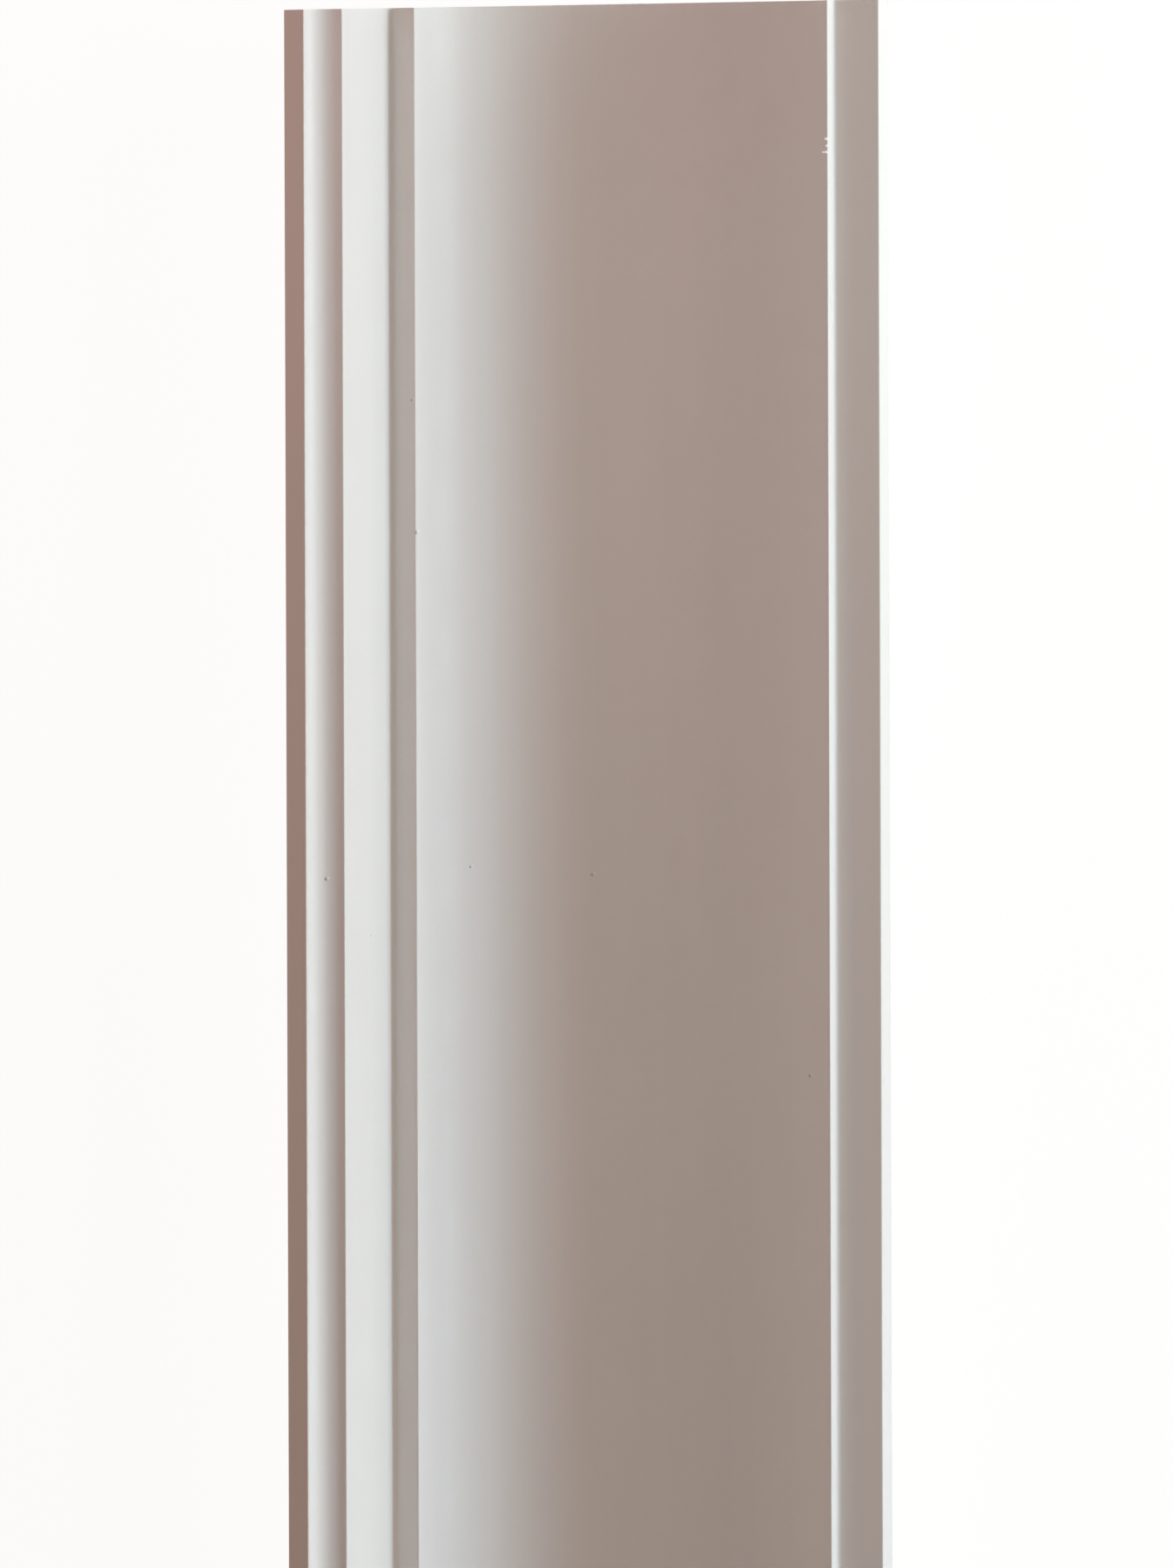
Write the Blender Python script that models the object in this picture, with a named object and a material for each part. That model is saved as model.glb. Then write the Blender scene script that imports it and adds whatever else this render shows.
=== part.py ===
"""Ceiling moulding in rigid polyurethane foam, one moulded length of stock.

Units are metres. The section is drawn as it is fitted in a room, as points (out, down): out from the
wall and down from the ceiling. The finished length lies on its flat back with its show face up: it
runs along Y, its wall edge is towards -X and its ceiling edge towards +X. The origin is at the middle
of the outline, at the level that the back rests on.
"""
import math

import bmesh
import bpy

# Stock length, and how far the sawn +Y end runs out of square from one edge to the other
LENGTH = 2.0
END_OUT_OF_SQUARE = 0.0023

# Members of the show face, in order from the wall edge to the ceiling edge
WALL_LIP = 0.0066
SMALL_COVE_RADIUS = 0.0072
FASCIA_HEIGHT = 0.0208
FASCIA_SOFFIT = 0.00785
COVE_HALF_WIDTH = 0.0760
COVE_HEIGHT = 0.0441
COVE_PAST_CROWN = math.radians(23.0)
BEAD_STEP = 0.0028
EDGE_SOFFIT = 0.01255
EDGE_SOFFIT_SLOPE = math.radians(17.4)
CEILING_EDGE = 0.0043

# Foam left behind the deepest point of the large cove
BACK_THICKNESS = 0.010

# Rounding of the outside corners, the inside corners and the corners of the back
ARRIS_RADIUS = 0.00025
FILLET_RADIUS = 0.0012
BACK_EDGE_RADIUS = 0.0012

# Facets along each kind of round stretch
SMALL_COVE_STEPS = 14
COVE_STEPS = 56
ARRIS_STEPS = 3
FILLET_STEPS = 6

# Smooth shading stops at corners sharper than this
SHARP_ANGLE = math.radians(35.0)

PRIMER_COLOUR = (0.86, 0.85, 0.83, 1.0)
PRIMER_ROUGHNESS = 0.42


def clear_scene():
    """Removes every object of the open scene."""
    for obj in list(bpy.data.objects):
        bpy.data.objects.remove(obj, do_unlink=True)


def ellipse_arc(centre, half_width, half_height, turn, steps):
    """Points of a hollow that starts upright at the wall side and climbs towards the ceiling."""
    points = []
    for step in range(steps + 1):
        angle = turn * step / steps
        out = centre[0] - half_width * math.cos(angle)
        down = centre[1] - half_height * math.sin(angle)
        points.append((out, down))
    return points


def show_face():
    """The show face from the wall edge to the ceiling edge, as (point, corner radius) pairs."""
    cove_turn = math.pi / 2 + COVE_PAST_CROWN
    cove_run = COVE_HALF_WIDTH * (1.0 + math.sin(COVE_PAST_CROWN))
    cove_rise = COVE_HEIGHT * math.cos(COVE_PAST_CROWN)

    # Levels below the ceiling, from the ceiling down
    edge_level = CEILING_EDGE
    soffit_foot = edge_level + EDGE_SOFFIT * math.sin(EDGE_SOFFIT_SLOPE)
    bead_level = soffit_foot + BEAD_STEP
    cove_foot = bead_level + cove_rise
    fascia_foot = cove_foot + FASCIA_HEIGHT
    wall_level = fascia_foot + SMALL_COVE_RADIUS

    # Distances from the wall, from the wall out
    fascia_out = WALL_LIP + SMALL_COVE_RADIUS
    cove_start = fascia_out + FASCIA_SOFFIT
    bead_out = cove_start + cove_run
    edge_out = bead_out + EDGE_SOFFIT * math.cos(EDGE_SOFFIT_SLOPE)

    small_centre = (fascia_out, wall_level)
    small = ellipse_arc(small_centre, SMALL_COVE_RADIUS, SMALL_COVE_RADIUS, math.pi / 2, SMALL_COVE_STEPS)
    large_centre = (cove_start + COVE_HALF_WIDTH, cove_foot)
    large = ellipse_arc(large_centre, COVE_HALF_WIDTH, COVE_HEIGHT, cove_turn, COVE_STEPS)

    face = [((0.0, wall_level), ARRIS_RADIUS)]
    face += cove_with_arrises(small)
    face.append(((fascia_out, cove_foot), FILLET_RADIUS))
    face += cove_with_arrises(large)
    face.append(((bead_out, soffit_foot), FILLET_RADIUS))
    face.append(((edge_out, edge_level), ARRIS_RADIUS))
    face.append(((edge_out, 0.0), ARRIS_RADIUS))
    return face, large, wall_level, edge_out


def cove_with_arrises(points):
    """A hollow's points, with its first and last point as outside corners."""
    inner = [(point, 0.0) for point in points[1:-1]]
    return [(points[0], ARRIS_RADIUS)] + inner + [(points[-1], ARRIS_RADIUS)]


def lay_down(point, wall_level, tilt):
    """Turns a fitted point to the lying position: across the width, and up from the edges' line."""
    out = point[0]
    up = wall_level - point[1]
    across = out * math.cos(tilt) + up * math.sin(tilt)
    height = out * math.sin(tilt) - up * math.cos(tilt)
    return across, height


def round_corner(before, corner, after, radius, steps):
    """Points of an arc of the given radius between the two straight lines that meet at a corner."""
    to_before = (before[0] - corner[0], before[1] - corner[1])
    to_after = (after[0] - corner[0], after[1] - corner[1])
    length_before = math.hypot(*to_before)
    length_after = math.hypot(*to_after)
    unit_before = (to_before[0] / length_before, to_before[1] / length_before)
    unit_after = (to_after[0] / length_after, to_after[1] / length_after)
    cosine = unit_before[0] * unit_after[0] + unit_before[1] * unit_after[1]
    half = math.acos(max(-1.0, min(1.0, cosine))) / 2

    # The arc starts this far from the corner, and takes at most half of either line
    reach = min(radius / math.tan(half), length_before / 2, length_after / 2)
    radius = reach * math.tan(half)
    middle = (unit_before[0] + unit_after[0], unit_before[1] + unit_after[1])
    scale = radius / math.sin(half) / math.hypot(*middle)
    centre = (corner[0] + middle[0] * scale, corner[1] + middle[1] * scale)
    start = (corner[0] + unit_before[0] * reach, corner[1] + unit_before[1] * reach)
    end = (corner[0] + unit_after[0] * reach, corner[1] + unit_after[1] * reach)
    start_angle = math.atan2(start[1] - centre[1], start[0] - centre[0])
    turn = math.atan2(end[1] - centre[1], end[0] - centre[0]) - start_angle
    turn = math.remainder(turn, 2 * math.pi)
    arc = []
    for step in range(steps + 1):
        angle = start_angle + turn * step / steps
        arc.append((centre[0] + radius * math.cos(angle), centre[1] + radius * math.sin(angle)))
    return arc


def section():
    """The closed section in the lying position, as (across, height) points."""
    face, cove, wall_level, edge_out = show_face()
    tilt = math.atan2(wall_level, edge_out)
    deepest = min(lay_down(point, wall_level, tilt)[1] for point in cove)
    back_depth = BACK_THICKNESS - deepest

    # The back cuts off the corner between the ceiling face and the wall face
    ceiling_side = (edge_out - back_depth / math.sin(tilt), 0.0)
    wall_side = (0.0, wall_level - back_depth / math.cos(tilt))
    corners = face + [(ceiling_side, BACK_EDGE_RADIUS), (wall_side, BACK_EDGE_RADIUS)]
    corners = [(lay_down(point, wall_level, tilt), radius) for point, radius in corners]

    outline = []
    for index, (point, radius) in enumerate(corners):
        if radius == 0.0:
            outline.append(point)
            continue
        steps = ARRIS_STEPS if radius == ARRIS_RADIUS else FILLET_STEPS
        before = corners[index - 1][0]
        after = corners[(index + 1) % len(corners)][0]
        outline += round_corner(before, point, after, radius, steps)
    return outline


def primer_material():
    """White factory primer."""
    material = bpy.data.materials.new("white_primer")
    material.use_nodes = True
    shader = material.node_tree.nodes["Principled BSDF"]
    shader.inputs["Base Color"].default_value = PRIMER_COLOUR
    shader.inputs["Roughness"].default_value = PRIMER_ROUGHNESS
    shader.inputs["Metallic"].default_value = 0.0
    material.diffuse_color = PRIMER_COLOUR
    return material


def cornice_moulding():
    """The length of stock: the section drawn out along Y."""
    outline = section()
    middle = (min(x for x, _ in outline) + max(x for x, _ in outline)) / 2
    width = max(x for x, _ in outline) - min(x for x, _ in outline)
    floor = min(z for _, z in outline)

    mesh = bpy.data.meshes.new("cornice_moulding")
    shape = bmesh.new()
    start = [shape.verts.new((x - middle, -LENGTH / 2, z - floor)) for x, z in outline]
    end_face = shape.faces.new(start)
    drawn = bmesh.ops.extrude_face_region(shape, geom=[end_face])
    for vert in [item for item in drawn["geom"] if isinstance(item, bmesh.types.BMVert)]:
        # The ceiling edge is the longer one
        vert.co.y += LENGTH + END_OUT_OF_SQUARE * (vert.co.x / width - 0.5)
    bmesh.ops.recalc_face_normals(shape, faces=shape.faces[:])
    shape.to_mesh(mesh)
    shape.free()
    mesh.shade_smooth()
    mesh.set_sharp_from_angle(angle=SHARP_ANGLE)
    mesh.materials.append(primer_material())

    moulding = bpy.data.objects.new("cornice_moulding", mesh)
    bpy.context.scene.collection.objects.link(moulding)
    return moulding


clear_scene()
cornice_moulding()
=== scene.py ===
"""Looks of a polyurethane ceiling moulding that lies on its flat back, seen from above.

Units are metres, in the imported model's frame: the length runs along Y, the wall edge is towards -X,
the ceiling edge towards +X, and the show face looks up.
"""
import math
import random

import bmesh
import bpy
from mathutils import Matrix, Vector
from mathutils.geometry import delaunay_2d_cdt


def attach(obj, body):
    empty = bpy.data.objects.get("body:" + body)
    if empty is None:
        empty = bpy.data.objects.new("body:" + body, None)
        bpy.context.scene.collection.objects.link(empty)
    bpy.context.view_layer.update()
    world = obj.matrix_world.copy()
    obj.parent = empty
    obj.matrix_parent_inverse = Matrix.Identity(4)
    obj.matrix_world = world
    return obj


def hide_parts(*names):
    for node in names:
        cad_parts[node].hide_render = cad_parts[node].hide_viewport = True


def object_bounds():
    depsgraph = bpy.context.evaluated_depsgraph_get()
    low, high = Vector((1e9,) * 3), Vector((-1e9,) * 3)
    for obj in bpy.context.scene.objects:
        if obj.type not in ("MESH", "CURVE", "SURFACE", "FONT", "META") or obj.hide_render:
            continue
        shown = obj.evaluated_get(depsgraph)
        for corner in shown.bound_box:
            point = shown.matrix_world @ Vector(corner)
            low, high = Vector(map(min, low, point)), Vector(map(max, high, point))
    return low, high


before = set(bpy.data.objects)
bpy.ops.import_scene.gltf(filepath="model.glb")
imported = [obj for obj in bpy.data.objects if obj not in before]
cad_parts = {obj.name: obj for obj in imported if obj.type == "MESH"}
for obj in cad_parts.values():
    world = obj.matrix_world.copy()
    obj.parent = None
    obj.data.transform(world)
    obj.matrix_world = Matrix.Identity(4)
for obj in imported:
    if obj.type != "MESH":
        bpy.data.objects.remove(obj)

NODE = "cornice_moulding"
CAD_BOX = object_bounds()

# The photograph's frame in pixels, and the camera's sensor in millimetres
PHOTO_WIDTH = 1347
PHOTO_HEIGHT = 1800
SENSOR_WIDTH = 36.0
# Columns of the face's two outer edges, the row they were read in, and the row of the far end's corner
FACE_LEFT_PX = 329.4
FACE_RIGHT_PX = 1023.0
FACE_ROW_PX = 1190.0
END_ROW_PX = 0.4
# How far the length leans in the frame
LEAN = math.radians(0.177)
# The lens looks from a little to the ceiling edge's side, and from far off
VIEW_TILT = math.radians(8.1)
CAMERA_DISTANCE = 12.0
# Nearest and farthest that it sees
CLIP_RANGE = (0.1, 100.0)

# Spacing of the section's points on the show face and behind it, and of the stations along the length
SHOW_SPACING = 0.0005
BACK_SPACING = 0.004
STATION_SPACING = 0.05
# A section's side this many times longer than its neighbour is a flat
FLAT_RATIO = 3.0
# Stations close to the sawn ends, as distances from the end
END_STATIONS = (0.0, 0.0003, 0.0007, 0.0015, 0.004, 0.012)
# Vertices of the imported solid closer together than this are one, and its near end looks towards -Y
SAME_POINT = 1e-6
END_NORMAL_Y = -0.99
# Smooth shading stops at corners sharper than this
SHARP_ANGLE = math.radians(40.0)
# Order of the three materials on the mesh
PRIMER_PLACE = 0
BACK_PLACE = 1
CUT_PLACE = 2

# Knocked arris of the bead: its column in the photograph, and its marks by their row there.
# A nick has its depth, and its reach across and along, in metres.
# A flake that has lifted off has the width of its root across, half its width along, and its steepness.
KNOCKED_PX = 949.8
NICKS = [
    (171.6, 0.00030, 0.00045, 0.00050),
    (164.2, 0.00024, 0.00040, 0.00040),
    (155.6, 0.00024, 0.00040, 0.00060),
]
FLAKES = [
    (175.4, 0.00042, 0.00016, 3.4),
    (160.3, 0.00032, 0.00030, 2.2),
    (167.8, 0.00022, 0.00020, 2.2),
]
# Spacing of points and stations around the knocked arris, and how far around it they run
CHIP_SPACING = 0.00014
CHIP_MARGIN = 0.0012

# Sawn ends: how uneven the cut is, and how deep and how far in its rim is torn
CUT_UNEVENNESS = 0.00004
TORN_DEPTH = 0.00012
TORN_REACH = 0.0015
# Grid of points on a cut face, and how far they are shifted and kept off the rim, as shares of it
CUT_GRID = 0.0011
CUT_SHIFT = 0.2
CUT_CLEARANCE = 0.45
CUT_SAME_POINT = 1e-7
# The triangulation's setting that keeps only the triangles inside the rim
INSIDE_ONLY = 1
SEED = 7

# Ranges of noise that a colour or a roughness is spread over
NOISE_WIDE = (0.3, 0.7)
NOISE_NARROW = (0.35, 0.65)
# Sockets of the node that mixes two colours
MIX_SHARE = 0
MIX_COLOURS = (6, 7)
MIX_RESULT = 2

# White primer: its colour where it is thin and where it is full, and its roughness
PRIMER_THIN = (0.845, 0.835, 0.815)
PRIMER_FULL = (0.875, 0.865, 0.845)
PRIMER_ROUGHNESS = (0.36, 0.48)
# Sizes of its clouds, gloss patches, orange peel and grain, and how streaks are squeezed along each axis
PRIMER_CLOUD = 0.09
PRIMER_GLOSS = 0.012
PRIMER_PEEL = 0.0016
PRIMER_GRAIN = 0.0007
PRIMER_STREAKS = (230.0, 3.0, 230.0)
# Shares of clouds, streaks and grain in its tone
CLOUD_SHARE = 0.5
STREAK_SHARE = 0.3
GRAIN_SHARE = 0.2
# Depths of the orange peel, of the grain and of a nib
PEEL_DEPTH = 0.00002
GRAIN_DEPTH = 0.00001
NIB_DEPTH = 0.00025

# Lip beside the wall: its painted shade, a darker and redder colour for the dim warm light that falls
# there, its inner edge across the width, and how soft and ragged that edge is
LIP_SHADE_COLOUR = (0.757, 0.67, 0.62)
LIP_EDGE = -0.0741
LIP_SOFTNESS = 0.0003
LIP_RAGGED_SIZE = 0.003
LIP_RAGGED_REACH = 0.0006

# Small nibs in the primer, as the photograph's column and row and a radius in metres
NIBS = [
    (477.8, 611.0, 0.00060),
    (472.0, 459.0, 0.00040),
    (374.6, 1009.0, 0.00060),
    (540.0, 995.0, 0.00032),
    (680.0, 1004.0, 0.00050),
    (929.6, 1235.0, 0.00060),
]
NIB_COLOUR = (0.42, 0.38, 0.34)
# Colour of the painted highlight beside each nib, where its raised side would catch the light
NIB_HIGHLIGHT_COLOUR = (0.97, 0.965, 0.955)
# How much of a nib is at full strength, how strong that is, and how far off the painted highlight beside
# it lies
NIB_CORE = 0.3
NIB_STRENGTH = 0.55
NIB_HIGHLIGHT_PX = 2.6
# Scattered dust: spacing of the points it may lie at, and its size as a share of that
DUST_SPACING = 0.045
DUST_SIZE = 0.006

# Foam back: its skin's two colours and its roughness
BACK_DARK = (0.72, 0.66, 0.53)
BACK_LIGHT = (0.83, 0.79, 0.68)
BACK_ROUGHNESS = (0.5, 0.66)
# Sizes of its clouds and flow marks, and the depth of these marks
BACK_CLOUD = 0.035
FLOW_SIZE = 0.006
FLOW_DEPTH = 0.00012
# Holes: spacing of the points they may lie at, and their inner and outer radius as shares of it
PINHOLE_SPACING = 0.0065
PINHOLE_RADII = (0.05, 0.11)
LARGE_HOLE_SPACING = 0.031
LARGE_HOLE_RADII = (0.03, 0.045)
# Painted shade inside the holes and the sawn voids: its colour and strength, and the holes' depth
HOLE_SHADE_COLOUR = (0.36, 0.30, 0.22)
HOLE_STRENGTH = 0.7
HOLE_DEPTH = 0.0003
# Overspray of primer: where it fades out behind the show face's edges, and how ragged it is
SPRAY_FADE = (0.007, 0.013)
SPRAY_RAGGED_SIZE = 0.004
SPRAY_RAGGED_REACH = 0.012

# Sawn foam: size, range and depth of its cells, the painted shade in their pits and the colour of their
# walls, and its roughness
CELL_SIZE = 0.00045
CELL_RANGE = (0.1, 0.7)
CELL_DEPTH = 0.00016
CELL_PIT_SHADE = (0.58, 0.50, 0.36)
CELL_WALL = (0.86, 0.81, 0.68)
SAWN_ROUGHNESS = (0.78, 0.9)
# Darker clouds in the core: their size, colour and greatest strength
CORE_CLOUD = 0.012
CORE_SHADE = (0.78, 0.70, 0.52)
CORE_STRENGTH = 0.35
# Voids, given as the back's holes are
VOID_SPACING = 0.0043
VOID_RADII = (0.07, 0.12)
VOID_STRENGTH = 0.8
VOID_DEPTH = 0.0005
# Dense moulded skin around the core: colour, strength, depth below the surface, and raggedness
SKIN_COLOUR = (0.74, 0.66, 0.48)
SKIN_STRENGTH = 0.75
SKIN_THICKNESS = 0.0016
SKIN_RAGGED_SIZE = 0.003
SKIN_RAGGED_REACH = 0.0012
# Saw lines: how they are squeezed along each axis, and their depth
SAW_LINES = (40.0, 1.0, 1500.0)
SAW_DEPTH = 0.00012

# Floor: reach, gap under the piece, and its tone for spread light and for the eye
FLOOR_HALF = 12.0
FLOOR_GAP = 0.0002
FLOOR_BOUNCE = (0.88, 0.83, 0.79)
FLOOR_SHADE = (0.12, 0.12, 0.12)
FLOOR_GLOW = 0.93
# Light of the room on the moulding, and what the eye sees behind it
ROOM_COLOUR = (1.0, 0.73, 0.59)
ROOM_LEVEL = 0.233
BACKDROP_COLOUR = (1.0, 1.0, 1.0)
BACKDROP_LEVEL = 1.0

# Long lamps that stand around the moulding: angle from straight up, positive towards +X, colour and watts
LAMP_DISTANCE = 1.6
LAMP_SIZE = (0.2, 4.0)
LAMPS = [
    ("key_lamp", 68.0, (0.65, 0.86, 1.0), 19.3),
    ("low_lamp", 80.0, (0.94, 0.99, 1.0), 9.8),
    ("high_lamp", 54.0, (1.0, 0.88, 0.76), 4.2),
    ("fill_lamp", -82.0, (1.0, 0.72, 0.61), 1.3),
]
# Small lamps close to the far end, which is brighter in the photograph than the rest
END_LAMP_DISTANCE = 0.5
END_LAMP_ALONG = 1.05
END_LAMP_SIZE = (0.2, 0.3)
END_LAMPS = [
    ("end_key_lamp", 68.0, (0.92, 1.0, 0.91), 0.50),
    ("end_fill_lamp", -45.0, (1.0, 0.67, 0.69), 0.28),
]
# Low wide lamps beyond the far end, at side 1, and the near end, at side -1, for the sawn faces
WASH_DISTANCE = 1.6
WASH_HEIGHT = 0.08
WASH_SIZE = (1.2, 0.12)
WASH_COLOUR = (1.0, 0.95, 0.90)
WASH_POWER = 9.0
WASH_LAMPS = [("far_wash_lamp", 1), ("near_wash_lamp", -1)]
# Strip of light that lies on the floor beside the wall side, and shines up at the shaded glue face
STRIP_PLACE = (-0.0975, 0.0, 0.001)
STRIP_SIZE = (0.045, 2.2)
STRIP_COLOUR = (1.0, 0.96, 0.92)
STRIP_POWER = 0.26


def near_end_outline(node):
    """The section as (x, z) points in order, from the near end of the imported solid."""
    shape = bmesh.new()
    shape.from_mesh(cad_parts[node].data)
    bmesh.ops.remove_doubles(shape, verts=shape.verts[:], dist=SAME_POINT)
    follows = {}
    for edge in shape.edges:
        ends = [face for face in edge.link_faces if face.normal.y < END_NORMAL_Y]
        if len(ends) != 1:
            continue
        for loop in edge.link_loops:
            if loop.face is ends[0]:
                follows[loop.vert.index] = loop.link_loop_next.vert.index
    places = {vert.index: (vert.co.x, vert.co.z) for vert in shape.verts}
    shape.free()
    first = min(follows, key=lambda index: places[index])
    order = [first]
    while follows[order[-1]] != first:
        order.append(follows[order[-1]])
    points = [places[index] for index in order]
    # The loop is turned so that it runs over the show face from -X to +X first
    if points[1][1] < points[-1][1]:
        points = [points[0]] + points[:0:-1]
    return [Vector(point) for point in points]


def across_view(point):
    """How far right a point of the section lies in the photograph's view, in metres."""
    return point.x * math.cos(VIEW_TILT) - point.y * math.sin(VIEW_TILT)


def face_span():
    """Where the two outer edges of the section lie across the view."""
    across = [across_view(point) for point in SECTION]
    return min(across), max(across)


def metres_per_pixel():
    """Scale of the photograph, from the width of the face."""
    left, right = face_span()
    return (right - left) / (FACE_RIGHT_PX - FACE_LEFT_PX)


def tangent(before, here, after):
    """Direction of the smooth section at a point: along a long flat side, or along the circle there."""
    side_in = here - before
    side_out = after - here
    if side_in.length > FLAT_RATIO * side_out.length:
        return side_in.normalized()
    if side_out.length > FLAT_RATIO * side_in.length:
        return side_out.normalized()
    weighted_in = side_in.normalized() / side_in.length
    weighted_out = side_out.normalized() / side_out.length
    return (weighted_in + weighted_out).normalized()


def refined(points):
    """The section's points set closer together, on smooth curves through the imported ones."""
    count = len(points)
    tangents = [tangent(points[i - 1], points[i], points[(i + 1) % count]) for i in range(count)]
    fine = []
    for i in range(count):
        start = points[i]
        end = points[(i + 1) % count]
        side = end - start
        middle = (start.x + end.x) / 2
        if side.x < 0.0:
            spacing = BACK_SPACING
        elif abs(middle - KNOCKED_X) < CHIP_MARGIN:
            spacing = CHIP_SPACING
        else:
            spacing = SHOW_SPACING
        parts = max(1, round(side.length / spacing))
        for part in range(parts):
            t = part / parts
            leave = tangents[i] * side.length
            arrive = tangents[(i + 1) % count] * side.length
            fine.append(hermite(start, end, leave, arrive, t))
    return fine


def hermite(start, end, leave, arrive, t):
    """Point of a cubic curve between two points with given end tangents."""
    square = t * t
    cube = square * t
    return (start * (2 * cube - 3 * square + 1) + leave * (cube - 2 * square + t)
            + end * (3 * square - 2 * cube) + arrive * (cube - square))


def outward(points):
    """Outward unit normals of the section, one for each point."""
    count = len(points)
    normals = []
    for i in range(count):
        along = (points[(i + 1) % count] - points[i - 1]).normalized()
        normals.append(Vector((-along.y, along.x)))
    return normals


def stations(length):
    """Places along the length, as distances from the near end, closer together at ends and chips."""
    inner = END_STATIONS[-1]
    steps = round((length - 2 * inner) / STATION_SPACING)
    middle = [inner + (length - 2 * inner) * step / steps for step in range(1, steps)]

    chips_start = min(MARK_Y.values()) - CAD_BOX[0].y - CHIP_MARGIN
    chips_end = max(MARK_Y.values()) - CAD_BOX[0].y + CHIP_MARGIN
    steps = round((chips_end - chips_start) / CHIP_SPACING)
    chipped = [chips_start + (chips_end - chips_start) * step / steps for step in range(steps + 1)]
    middle = [place for place in middle if not chips_start <= place <= chips_end]
    return sorted([*END_STATIONS, *middle, *chipped, *(length - place for place in END_STATIONS)])


def chip_height(x, y):
    """How far the show face stands proud at a place near the knocked arris, or is nicked below zero."""
    height = 0.0
    behind = KNOCKED_X - x
    if abs(behind) > CHIP_MARGIN:
        return height
    for row, depth, across, along in NICKS:
        beside = y - MARK_Y[row]
        height -= depth * math.exp(-(behind / across) ** 2 - (beside / along) ** 2)
    for row, root, half_width, steepness in FLAKES:
        beside = y - MARK_Y[row]
        if 0.0 < behind < root and abs(beside) < half_width:
            height += behind * steepness
    return height


def build_moulding():
    """The dressed length: the smooth section drawn along the length, with torn rims and sawn ends."""
    low, high = CAD_BOX
    outline = refined(SECTION)
    normals = outward(outline)
    chance = random.Random(SEED)
    far_slope = end_slope()
    mesh = bpy.data.meshes.new("moulding_finish")
    shape = bmesh.new()
    skin = shape.verts.layers.float.new("skin_depth")
    spray = shape.verts.layers.float.new("edge_distance")
    edge_distance = distances_from_show_edges(outline)

    rings = []
    places = stations(high.y - low.y)
    for place in places:
        share = place / (high.y - low.y)
        from_end = min(place, high.y - low.y - place)
        ring = []
        for point, normal, distance in zip(outline, normals, edge_distance):
            far = high.y + (point.x - high.x) * far_slope
            y = low.y + (far - low.y) * share
            lift = chip_height(point.x, y) if distance == 0.0 else 0.0
            if from_end < TORN_REACH:
                lift -= chance.random() ** 2 * TORN_DEPTH * (1.0 - from_end / TORN_REACH)
            vert = shape.verts.new((point.x + normal.x * lift, y, max(point.y + normal.y * lift, 0.0)))
            vert[skin] = 0.0
            vert[spray] = distance
            ring.append(vert)
        rings.append(ring)
    for ring, following in zip(rings, rings[1:]):
        for i in range(len(ring)):
            j = (i + 1) % len(ring)
            face = shape.faces.new((ring[i], following[i], following[j], ring[j]))
            face.material_index = PRIMER_PLACE if outline[j].x > outline[i].x else BACK_PLACE
            face.smooth = True
    for ring in (rings[0], rings[-1]):
        close_end(shape, ring, skin, chance)
    bmesh.ops.recalc_face_normals(shape, faces=shape.faces[:])
    shape.to_mesh(mesh)
    shape.free()
    mesh.set_sharp_from_angle(angle=SHARP_ANGLE)
    piece = bpy.data.objects.new("moulding_finish", mesh)
    bpy.context.scene.collection.objects.link(piece)
    return piece


def end_slope():
    """How far the far end moves along Y for each metre across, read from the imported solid."""
    verts = [vert.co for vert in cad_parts[NODE].data.vertices if vert.co.y > 0.0]
    left = min(verts, key=lambda co: co.x)
    right = max(verts, key=lambda co: co.x)
    return (right.y - left.y) / (right.x - left.x)


def distances_from_show_edges(points):
    """Distance of each point behind the show face's two edges, and 0 on the show face itself."""
    count = len(points)
    shown = [points[(i + 1) % count].x > points[i - 1].x for i in range(count)]
    last_shown = max(i for i in range(count) if shown[i])
    run = [0.0] * count
    for i in range(last_shown + 1, count):
        run[i] = run[i - 1] + (points[i] - points[i - 1]).length
    total = run[-1] + (points[0] - points[-1]).length
    return [min(value, total - value) if value > 0.0 else 0.0 for value in run]


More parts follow.
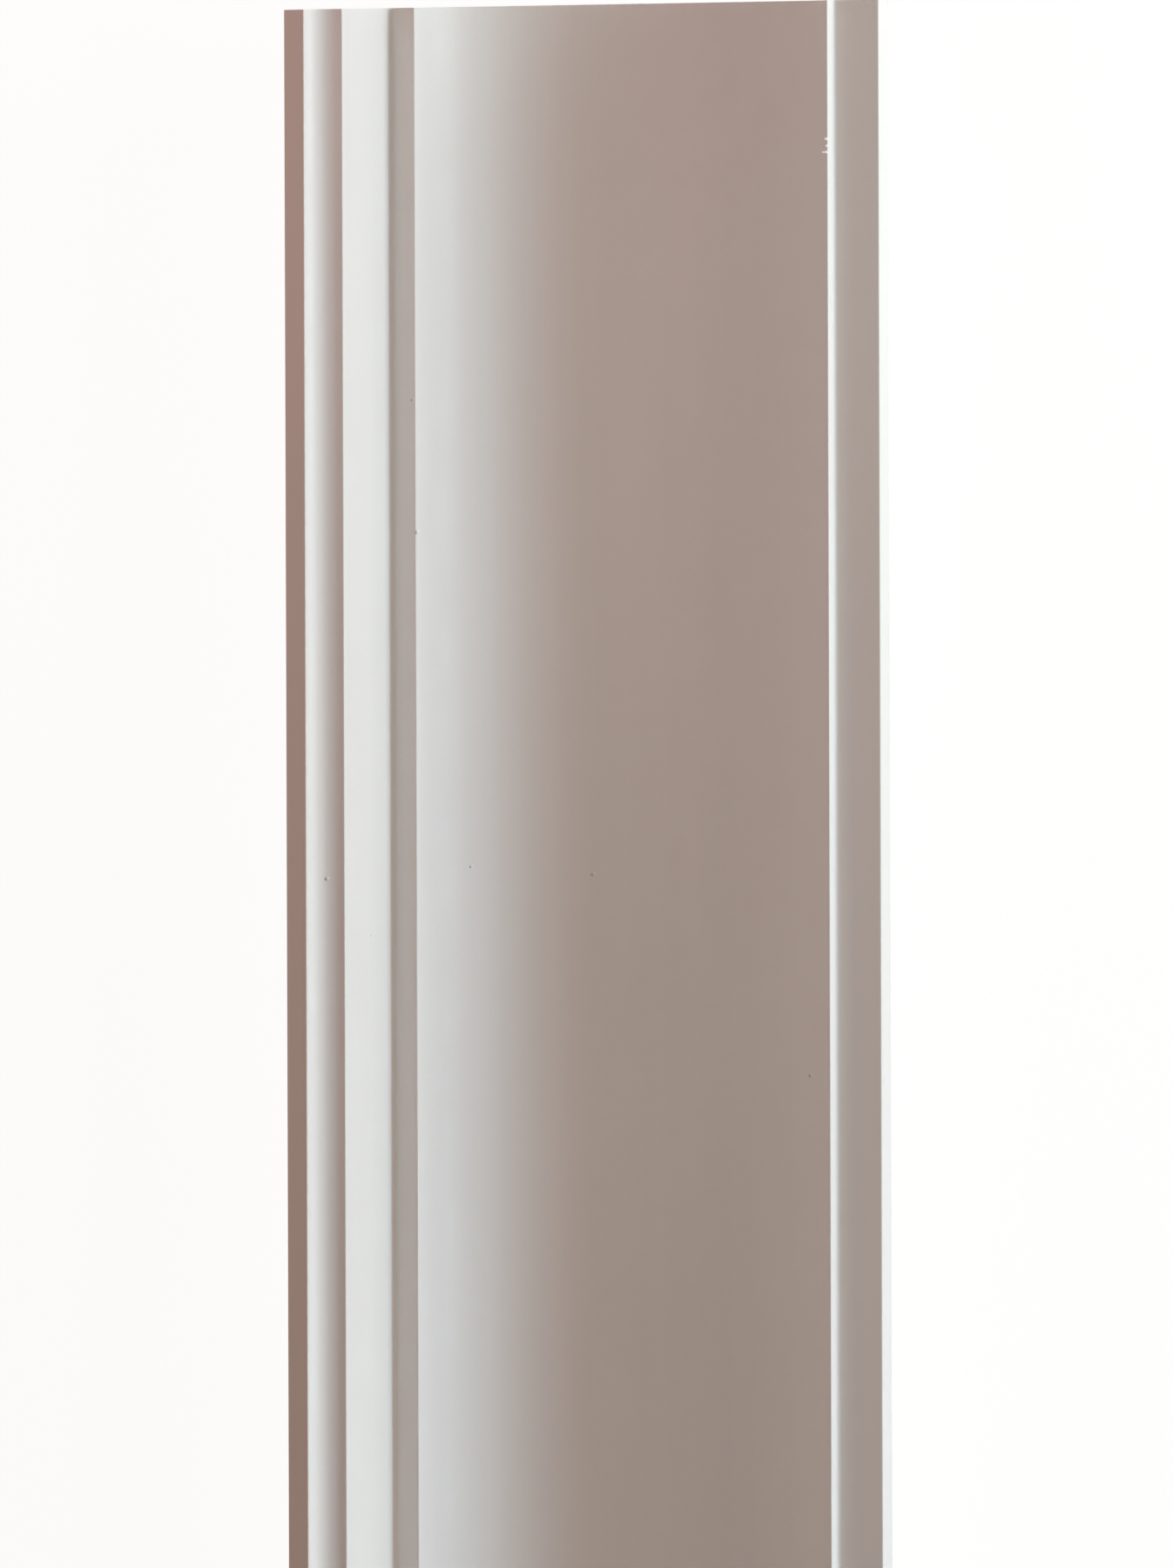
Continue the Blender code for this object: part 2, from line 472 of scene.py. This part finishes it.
def close_end(shape, ring, skin, chance):
    """Fills a sawn end with a fine grid that knows its depth below the moulded skin."""
    rim = [Vector((vert.co.x, vert.co.z)) for vert in ring]
    low_x = min(point.x for point in rim)
    high_x = max(point.x for point in rim)
    high_z = max(point.y for point in rim)
    points = list(rim)
    rows = int(high_z / CUT_GRID)
    columns = int((high_x - low_x) / CUT_GRID)
    for row in range(1, rows + 1):
        for column in range(1, columns + 1):
            # Every second row starts half a step in
            x = low_x + (column + 0.5 * (row % 2)) * CUT_GRID
            z = row * CUT_GRID
            x_shift = chance.uniform(-CUT_SHIFT, CUT_SHIFT) * CUT_GRID
            z_shift = chance.uniform(-CUT_SHIFT, CUT_SHIFT) * CUT_GRID
            spot = Vector((x + x_shift, z + z_shift))
            if inside(spot, rim) and depth_below(spot, rim) > CUT_CLEARANCE * CUT_GRID:
                points.append(spot)
    edges = [(i, (i + 1) % len(rim)) for i in range(len(rim))]
    found = delaunay_2d_cdt(points, edges, [], INSIDE_ONLY, CUT_SAME_POINT)
    sources = found[3]
    slope = (ring_y(ring, high_x) - ring_y(ring, low_x)) / (high_x - low_x)
    base = ring_y(ring, low_x)
    verts = []
    for index, point in enumerate(found[0]):
        source = sources[index][0]
        if source < len(rim):
            verts.append(ring[source])
            continue
        y = base + (point.x - low_x) * slope + chance.uniform(-1.0, 1.0) * CUT_UNEVENNESS
        vert = shape.verts.new((point.x, y, point.y))
        vert[skin] = depth_below(point, rim)
        verts.append(vert)
    for triangle in found[2]:
        face = shape.faces.new([verts[index] for index in triangle])
        face.material_index = CUT_PLACE
        face.smooth = False


def ring_y(ring, x):
    """Y of the ring's vertex that is nearest to a place across the width."""
    return min(ring, key=lambda vert: abs(vert.co.x - x)).co.y


def inside(spot, rim):
    """True if a point lies inside the closed outline."""
    within = False
    for i in range(len(rim)):
        a = rim[i - 1]
        b = rim[i]
        if (a.y > spot.y) == (b.y > spot.y):
            continue
        if spot.x < a.x + (spot.y - a.y) * (b.x - a.x) / (b.y - a.y):
            within = not within
    return within


def depth_below(spot, rim):
    """Distance from a point to the nearest point of the outline."""
    return min((spot - point).length for point in rim)


def add_node(material, kind, inputs=None, **settings):
    """A shader node of a material or world, with its settings, and its inputs as numbers or sockets."""
    tree = material.node_tree
    node = tree.nodes.new(kind)
    for name, value in settings.items():
        setattr(node, name, value)
    for name, value in (inputs or {}).items():
        if isinstance(value, bpy.types.NodeSocket):
            tree.links.new(value, node.inputs[name])
        else:
            node.inputs[name].default_value = value
    return node


def empty_material(name):
    """A material with no nodes."""
    material = bpy.data.materials.new(name)
    material.use_nodes = True
    material.node_tree.nodes.clear()
    return material


def place_on_piece(material, stretch=(1.0, 1.0, 1.0)):
    """The point on the piece in metres, with its axes stretched for streaks that run one way."""
    place = add_node(material, "ShaderNodeTexCoord").outputs["Object"]
    if stretch == (1.0, 1.0, 1.0):
        return place
    inputs = {0: place, 1: stretch}
    return add_node(material, "ShaderNodeVectorMath", inputs, operation="MULTIPLY").outputs[0]


def noise(material, grain, detail=2.0, stretch=(1.0, 1.0, 1.0)):
    """Cloudy noise between 0 and 1 whose patches are about the given size in metres."""
    inputs = {"Vector": place_on_piece(material, stretch), "Scale": 1.0 / grain, "Detail": detail}
    return add_node(material, "ShaderNodeTexNoise", inputs).outputs[0]


def cell_distance(material, spacing):
    """Distance to the nearest of many scattered points, as a share of their spacing."""
    inputs = {"Vector": place_on_piece(material), "Scale": 1.0 / spacing}
    return add_node(material, "ShaderNodeTexVoronoi", inputs).outputs["Distance"]


def remap(material, value, low, high, to_low, to_high):
    """A value carried from one range to another, and held inside it."""
    inputs = {"Value": value, "From Min": low, "From Max": high, "To Min": to_low, "To Max": to_high}
    return add_node(material, "ShaderNodeMapRange", inputs).outputs[0]


def hole_mask(material, spacing, radii):
    """1 in the middle of small scattered holes, falling to 0 from their inner to their outer radius."""
    return remap(material, cell_distance(material, spacing), *radii, 1.0, 0.0)


def calculate(material, operation, first, second):
    """One step of arithmetic on two values."""
    return add_node(material, "ShaderNodeMath", {0: first, 1: second}, operation=operation).outputs[0]


def ragged_edge(material, grain, detail, reach):
    """A distance up to the given reach in metres, which wavers in patches of the given size."""
    return calculate(material, "MULTIPLY", noise(material, grain, detail), reach)


def blend_colours(material, share, first, second):
    """The first colour, giving way to the second as the share grows."""
    node = add_node(material, "ShaderNodeMix", {MIX_SHARE: share}, data_type="RGBA")
    for index, value in zip(MIX_COLOURS, (first, second)):
        if isinstance(value, bpy.types.NodeSocket):
            material.node_tree.links.new(value, node.inputs[index])
        else:
            node.inputs[index].default_value = (*value, 1.0)
    return node.outputs[MIX_RESULT]


def relief(material, height, depth, below=None):
    """Surface relief from a height between 0 and 1, at a depth in metres, on top of another relief."""
    inputs = {"Height": height, "Distance": depth}
    if below is not None:
        inputs["Normal"] = below
    return add_node(material, "ShaderNodeBump", inputs).outputs[0]


def finish_material(material, colour, roughness, normal):
    """The surface shader and the material's output."""
    shader = add_node(material, "ShaderNodeBsdfPrincipled",
                      {"Base Color": colour, "Roughness": roughness, "Normal": normal})
    add_node(material, "ShaderNodeOutputMaterial", {"Surface": shader.outputs[0]})
    return material


def photo_place(column, row):
    """The point of the show face that a pixel of the photograph shows."""
    scale = metres_per_pixel()
    turned = (row - FACE_ROW_PX) * math.tan(LEAN)
    across = face_span()[0] + (column - turned - FACE_LEFT_PX) * scale
    y = CAD_BOX[1].y - (row - END_ROW_PX) * scale
    for start, end in zip(SECTION, SECTION[1:]):
        if across_view(start) <= across < across_view(end):
            share = (across - across_view(start)) / (across_view(end) - across_view(start))
            point = start.lerp(end, share)
            # The camera stands over the far end, and sight lines lean more the farther off they land
            lean = (CAD_BOX[1].y - y) / CAMERA_DISTANCE
            return point.x, y - (CAD_BOX[1].z - point.y) * lean, point.y
    raise ValueError("the pixel is not on the show face")


def nib_mask(material, column, row, radius):
    """1 over the middle of one small mark of the photograph, falling to 0 at its rim."""
    inputs = {0: place_on_piece(material), 1: photo_place(column, row)}
    distance = add_node(material, "ShaderNodeVectorMath", inputs, operation="DISTANCE").outputs["Value"]
    return remap(material, distance, NIB_CORE * radius, radius, 1.0, 0.0)


def white_primer():
    """Satin white factory primer, sprayed: faintly cloudy, with an orange peel, a few dust nibs with
    painted highlights beside them, and painted shade on the lip beside the wall.
    """
    material = empty_material("white_primer")
    grain = noise(material, PRIMER_GRAIN, detail=3.0)
    cloud_tone = calculate(material, "MULTIPLY", noise(material, PRIMER_CLOUD), CLOUD_SHARE)
    streak = noise(material, 1.0, stretch=PRIMER_STREAKS)
    streak_tone = calculate(material, "MULTIPLY", streak, STREAK_SHARE)
    grain_tone = calculate(material, "MULTIPLY", grain, GRAIN_SHARE)
    tone = calculate(material, "ADD", cloud_tone, streak_tone)
    tone = calculate(material, "ADD", tone, grain_tone)
    share = remap(material, tone, *NOISE_WIDE, 0.0, 1.0)
    colour = blend_colours(material, share, PRIMER_THIN, PRIMER_FULL)

    # The lip beside the wall is painted darker and redder, as painted shade for the dim warm light that
    # falls on it
    across = add_node(material, "ShaderNodeSeparateXYZ", {0: place_on_piece(material)}).outputs[0]
    ragged = ragged_edge(material, LIP_RAGGED_SIZE, 3.0, LIP_RAGGED_REACH)
    lip = calculate(material, "ADD", across, ragged)
    lip_shade = remap(material, lip, LIP_EDGE - LIP_SOFTNESS, LIP_EDGE + LIP_SOFTNESS, 1.0, 0.0)
    colour = blend_colours(material, lip_shade, colour, LIP_SHADE_COLOUR)

    # Each nib is dark, with a paler painted highlight beside it towards the ceiling edge, where its
    # raised side would catch the light
    nibs = remap(material, cell_distance(material, DUST_SPACING), 0.0, DUST_SIZE, 1.0, 0.0)
    nib_highlights = 0.0
    for column, row, radius in NIBS:
        nib_highlight = nib_mask(material, column + NIB_HIGHLIGHT_PX, row - NIB_HIGHLIGHT_PX / 2, radius)
        nib_highlights = calculate(material, "MAXIMUM", nib_highlights, nib_highlight)
        nibs = calculate(material, "MAXIMUM", nibs, nib_mask(material, column, row, radius))
    colour = blend_colours(material, nib_highlights, colour, NIB_HIGHLIGHT_COLOUR)
    dirt = calculate(material, "MULTIPLY", nibs, NIB_STRENGTH)
    colour = blend_colours(material, dirt, colour, NIB_COLOUR)

    gloss = noise(material, PRIMER_GLOSS, detail=3.0)
    roughness = remap(material, gloss, *NOISE_WIDE, *PRIMER_ROUGHNESS)
    peel = relief(material, noise(material, PRIMER_PEEL, detail=1.0), PEEL_DEPTH)
    stipple = relief(material, grain, GRAIN_DEPTH, peel)
    normal = relief(material, nibs, NIB_DEPTH, stipple)
    return finish_material(material, colour, roughness, normal)


def foam_back():
    """The moulded back: bare cream foam skin with pinholes, painted dark inside as painted shade, and
    primer sprayed over its edges.
    """
    material = empty_material("foam_back")
    cloud = noise(material, BACK_CLOUD, detail=4.0)
    share = remap(material, cloud, *NOISE_NARROW, 0.0, 1.0)
    colour = blend_colours(material, share, BACK_DARK, BACK_LIGHT)

    pinhole = hole_mask(material, PINHOLE_SPACING, PINHOLE_RADII)
    large_hole = hole_mask(material, LARGE_HOLE_SPACING, LARGE_HOLE_RADII)
    holes = calculate(material, "MAXIMUM", pinhole, large_hole)
    # The holes are painted darker inside, as painted shade
    hole_shade = calculate(material, "MULTIPLY", holes, HOLE_STRENGTH)
    colour = blend_colours(material, hole_shade, colour, HOLE_SHADE_COLOUR)

    behind = add_node(material, "ShaderNodeAttribute", attribute_name="edge_distance").outputs["Fac"]
    ragged = ragged_edge(material, SPRAY_RAGGED_SIZE, 4.0, SPRAY_RAGGED_REACH)
    spray = remap(material, calculate(material, "ADD", behind, ragged), *SPRAY_FADE, 1.0, 0.0)
    colour = blend_colours(material, spray, colour, PRIMER_FULL)

    roughness = remap(material, cloud, *NOISE_WIDE, *BACK_ROUGHNESS)
    flow = relief(material, noise(material, FLOW_SIZE, detail=3.0), FLOW_DEPTH)
    normal = relief(material, calculate(material, "SUBTRACT", 1.0, holes), HOLE_DEPTH, flow)
    return finish_material(material, colour, roughness, normal)


def sawn_foam():
    """A sawn end: fine cream cells with painted shade in their pits and voids, and saw lines, inside a
    denser, darker moulded skin.
    """
    material = empty_material("sawn_foam")
    cells = cell_distance(material, CELL_SIZE)
    cloud = noise(material, CORE_CLOUD, detail=3.0)
    share = remap(material, cells, *CELL_RANGE, 0.0, 1.0)
    # The pits of the cells are painted darker than their walls, as painted shade
    colour = blend_colours(material, share, CELL_PIT_SHADE, CELL_WALL)
    core = remap(material, cloud, *NOISE_NARROW, 0.0, CORE_STRENGTH)
    colour = blend_colours(material, core, colour, CORE_SHADE)

    # The voids are painted darker inside, as painted shade
    void = hole_mask(material, VOID_SPACING, VOID_RADII)
    hole_shade = calculate(material, "MULTIPLY", void, VOID_STRENGTH)
    colour = blend_colours(material, hole_shade, colour, HOLE_SHADE_COLOUR)

    depth = add_node(material, "ShaderNodeAttribute", attribute_name="skin_depth").outputs["Fac"]
    ragged = ragged_edge(material, SKIN_RAGGED_SIZE, 3.0, SKIN_RAGGED_REACH)
    ragged_depth = calculate(material, "SUBTRACT", depth, ragged)
    skin = remap(material, ragged_depth, 0.0, SKIN_THICKNESS, SKIN_STRENGTH, 0.0)
    colour = blend_colours(material, skin, colour, SKIN_COLOUR)

    scored = relief(material, noise(material, 1.0, stretch=SAW_LINES), SAW_DEPTH)
    pitted = relief(material, cells, CELL_DEPTH, scored)
    normal = relief(material, calculate(material, "SUBTRACT", 1.0, void), VOID_DEPTH, pitted)
    roughness = remap(material, cloud, *NOISE_WIDE, *SAWN_ROUGHNESS)
    return finish_material(material, colour, roughness, normal)


def build_stage():
    """Pale floor, large enough to fill every view."""
    mesh = bpy.data.meshes.new("floor")
    shape = bmesh.new()
    corners = [(-1, -1), (1, -1), (1, 1), (-1, 1)]
    shape.faces.new([shape.verts.new((x * FLOOR_HALF, y * FLOOR_HALF, -FLOOR_GAP)) for x, y in corners])
    shape.to_mesh(mesh)
    shape.free()
    floor = bpy.data.objects.new("floor", mesh)
    bpy.context.scene.collection.objects.link(floor)
    mesh.materials.append(floor_material())


def shown_rays(material):
    """1 for rays from the camera or through gloss or glass, and 0 for the light that spreads."""
    path = add_node(material, "ShaderNodeLightPath")
    seen = calculate(material, "MAXIMUM", path.outputs["Is Camera Ray"], path.outputs["Is Glossy Ray"])
    return calculate(material, "MAXIMUM", seen, path.outputs["Is Transmission Ray"])


def floor_material():
    """Pale floor that shows as white, with the moulding's soft shadow."""
    material = empty_material("pale_floor")
    bounce = add_node(material, "ShaderNodeBsdfDiffuse", {"Color": (*FLOOR_BOUNCE, 1.0)})
    lit = add_node(material, "ShaderNodeBsdfDiffuse", {"Color": (*FLOOR_SHADE, 1.0)})
    glow = add_node(material, "ShaderNodeEmission", {"Strength": FLOOR_GLOW})
    shown = add_node(material, "ShaderNodeAddShader", {0: lit.outputs[0], 1: glow.outputs[0]})
    inputs = {0: shown_rays(material), 1: bounce.outputs[0], 2: shown.outputs[0]}
    pick = add_node(material, "ShaderNodeMixShader", inputs)
    add_node(material, "ShaderNodeOutputMaterial", {"Surface": pick.outputs[0]})
    return material


def background(world, colour, level):
    """Light of one colour and level from all around."""
    inputs = {"Color": (*colour, 1.0), "Strength": level}
    return add_node(world, "ShaderNodeBackground", inputs).outputs[0]


def build_world():
    """Dim room light, with a white background behind the floor."""
    world = bpy.data.worlds.new("room")
    bpy.context.scene.world = world
    world.use_nodes = True
    world.node_tree.nodes.clear()
    room = background(world, ROOM_COLOUR, ROOM_LEVEL)
    white = background(world, BACKDROP_COLOUR, BACKDROP_LEVEL)
    inputs = {0: shown_rays(world), 1: room, 2: white}
    pick = add_node(world, "ShaderNodeMixShader", inputs)
    add_node(world, "ShaderNodeOutputWorld", {"Surface": pick.outputs[0]})


def hang_lamp(name, angle, distance, along, size, colour, power):
    """A soft lamp that faces the middle of the moulding's width, at an angle from straight up."""
    lean = math.radians(angle)
    place = (distance * math.sin(lean), along, distance * math.cos(lean))
    soft_lamp(name, place, (0.0, lean, 0.0), size, colour, power)


def add_wash_lamp(name, side):
    """A low wide lamp that faces one sawn end, at side 1 for the far end and -1 for the near one."""
    place = (0.0, side * (CAD_BOX[1].y + WASH_DISTANCE), WASH_HEIGHT)
    turn = (-side * math.pi / 2, 0.0, 0.0)
    lamp = soft_lamp(name, place, turn, WASH_SIZE, WASH_COLOUR, WASH_POWER)
    # It grazes the satin show face, and would glare there
    lamp.visible_glossy = False


def soft_lamp(name, place, turn, size, colour, power):
    """A rectangular lamp that the camera does not see."""
    data = bpy.data.lights.new(name, "AREA")
    data.shape = "RECTANGLE"
    data.size = size[0]
    data.size_y = size[1]
    data.color = colour
    data.energy = power
    lamp = bpy.data.objects.new(name, data)
    lamp.location = place
    lamp.rotation_euler = turn
    lamp.visible_camera = False
    bpy.context.scene.collection.objects.link(lamp)
    return lamp


def build_lamps():
    """A cool key low on the ceiling edge's side with softer lamps around it, a dim warm fill on the
    wall edge's side, and low lamps for the sawn ends and the shaded glue face."""
    for name, angle, colour, power in LAMPS:
        hang_lamp(name, angle, LAMP_DISTANCE, 0.0, LAMP_SIZE, colour, power)
    for name, angle, colour, power in END_LAMPS:
        hang_lamp(name, angle, END_LAMP_DISTANCE, END_LAMP_ALONG, END_LAMP_SIZE, colour, power)
    for name, side in WASH_LAMPS:
        add_wash_lamp(name, side)
    face_up = (math.pi, 0.0, 0.0)
    soft_lamp("floor_strip_lamp", STRIP_PLACE, face_up, STRIP_SIZE, STRIP_COLOUR, STRIP_POWER)


def build_camera():
    """A long lens above the far part of the length, as the photograph has it."""
    high = CAD_BOX[1]
    scale = metres_per_pixel()
    data = bpy.data.cameras.new("camera")
    data.sensor_width = SENSOR_WIDTH
    data.lens = CAMERA_DISTANCE / scale * SENSOR_WIDTH / PHOTO_HEIGHT
    data.clip_start, data.clip_end = CLIP_RANGE
    camera = bpy.data.objects.new("camera", data)
    # Middle of the frame, across the view and along the length
    row_shift = (FACE_ROW_PX - PHOTO_HEIGHT / 2) * math.tan(LEAN)
    across = face_span()[0] + (PHOTO_WIDTH / 2 - FACE_LEFT_PX + row_shift) * scale
    along = high.y - (PHOTO_HEIGHT / 2 - END_ROW_PX) * scale
    turn = Matrix.Rotation(VIEW_TILT, 3, "Y")
    # The camera stands over the far end, whose edge then shows as a straight line
    pitch = math.asin((high.y - along) / CAMERA_DISTANCE)
    aim = turn @ Matrix.Rotation(-LEAN, 3, "Z") @ Matrix.Rotation(-pitch, 3, "X")
    camera.location = turn @ Vector((across, along, high.z)) + aim @ Vector((0.0, 0.0, CAMERA_DISTANCE))
    camera.rotation_euler = aim.to_euler()
    bpy.context.scene.collection.objects.link(camera)
    bpy.context.scene.camera = camera


SECTION = near_end_outline(NODE)
KNOCKED_X = photo_place(KNOCKED_PX, NICKS[0][0])[0]
MARK_Y = {mark[0]: photo_place(KNOCKED_PX, mark[0])[1] for mark in NICKS + FLAKES}
moulding = build_moulding()
for material in (white_primer(), foam_back(), sawn_foam()):
    moulding.data.materials.append(material)
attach(moulding, "root")
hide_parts(NODE)
build_stage()
build_world()
build_lamps()
build_camera()
bpy.context.scene.view_settings.view_transform = "Standard"
